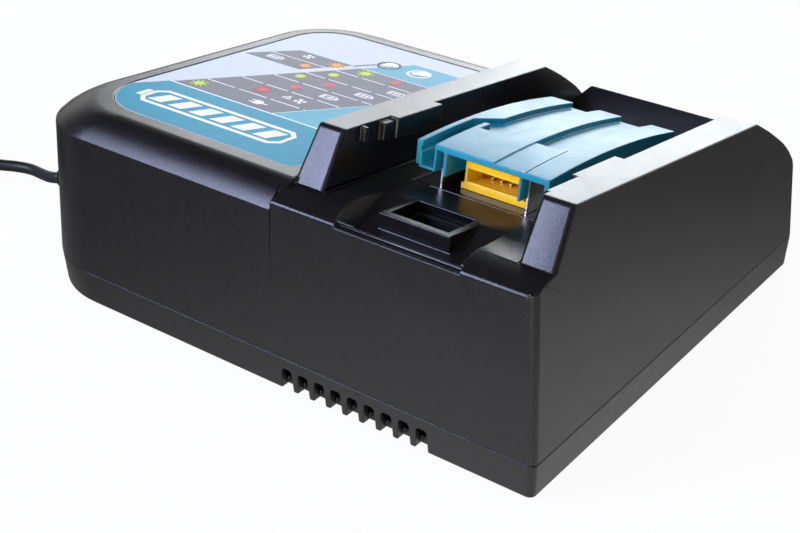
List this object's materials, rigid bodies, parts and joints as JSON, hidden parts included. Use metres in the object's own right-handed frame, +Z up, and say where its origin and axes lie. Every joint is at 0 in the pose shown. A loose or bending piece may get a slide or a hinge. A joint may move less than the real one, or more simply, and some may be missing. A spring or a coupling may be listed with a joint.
{
  "type": "power tool battery charger",
  "caption": "Bench charger for slide-in tool batteries: sloped bay with a sprung sliding dust cover over blade terminals, fan-fed air outlet, label deck with light windows, mains cord and plug",
  "frame": {"origin": "bottom centre of the case on the surface it stands on", "axes": "+X along the vented long face from the label end to the battery bay end, +Y from the vented face to the back, +Z up"},
  "size_m": [0.3131, 0.26, 0.075],
  "materials": {
    "case_plastic": "fine spark-eroded texture",
    "label_print": "printed sheet, satin",
    "clear_window": "clear",
    "foot_rubber": "matt",
    "screw_steel": "zinc plated",
    "block_plastic": "polished",
    "blade_metal": "nickel plated",
    "connector_plastic": "satin",
    "contact_metal": "tinned",
    "cover_plastic": "satin",
    "spring_steel": "bright wire",
    "duct_plastic": "moulded",
    "fan_plastic": "moulded",
    "board_laminate": "solder mask",
    "ferrite": "sintered",
    "winding_tape": "tape",
    "can_sleeve": "sleeve",
    "sink_metal": "extruded",
    "device_epoxy": "epoxy",
    "copper_wire": "enamelled",
    "fuse_glass": "glass tube with caps",
    "strip_plastic": "moulded",
    "lamp_plastic": "diffused",
    "lead_sheath": "insulation",
    "cord_pvc": "satin",
    "tie_plastic": "moulded",
    "pin_metal": "nickel plated"
  },
  "bodies": {
    "case": {"upper_case": "case_plastic", "lower_case": "case_plastic", "label_panel": "label_print", "indicator_lenses": "clear_window", "rubber_feet": "foot_rubber", "case_screws": "screw_steel", "terminal_base": "block_plastic", "power_blades": "blade_metal", "connector_housing": "connector_plastic", "signal_contacts": "contact_metal", "cover_springs": "spring_steel", "spring_pins": "screw_steel", "air_duct": "duct_plastic", "fan_frame": "fan_plastic", "fan_screws": "screw_steel", "main_board": "board_laminate", "board_screws": "screw_steel", "transformer_core": "ferrite", "transformer_winding": "winding_tape", "bulk_capacitor": "can_sleeve", "output_capacitors": "can_sleeve", "heat_sinks": "sink_metal", "power_devices": "device_epoxy", "line_choke": "ferrite", "choke_winding": "copper_wire", "fuse": "fuse_glass", "buzzer": "device_epoxy", "terminal_strip": "strip_plastic", "led_board": "board_laminate", "led_lamps": "lamp_plastic", "mains_leads": "lead_sheath", "battery_leads": "lead_sheath", "cord_guard": "cord_pvc", "cord_clamp": "duct_plastic", "clamp_screws": "screw_steel", "power_cord": "cord_pvc", "cord_coil": "cord_pvc", "cord_tail": "cord_pvc", "cord_tie": "tie_plastic", "plug_body": "cord_pvc", "plug_pins": "pin_metal"},
    "cover": {"terminal_cover": "cover_plastic"},
    "rotor": {"fan_rotor": "fan_plastic"}
  },
  "joints": [
    {"name": "cover_slide", "type": "slide", "parent": "case", "child": "cover", "axis": [0, 0.9882, -0.1532], "range_m": [0, 0.018], "stiffness_N_per_m": 120, "springref_m": -0.01, "deforming": ["cover_springs"]},
    {"name": "fan_spin", "type": "hinge", "parent": "case", "child": "rotor", "pos_m": [0.0487, -0.048, 0.03], "axis": [0, 0, 1], "continuous": true}
  ]
}
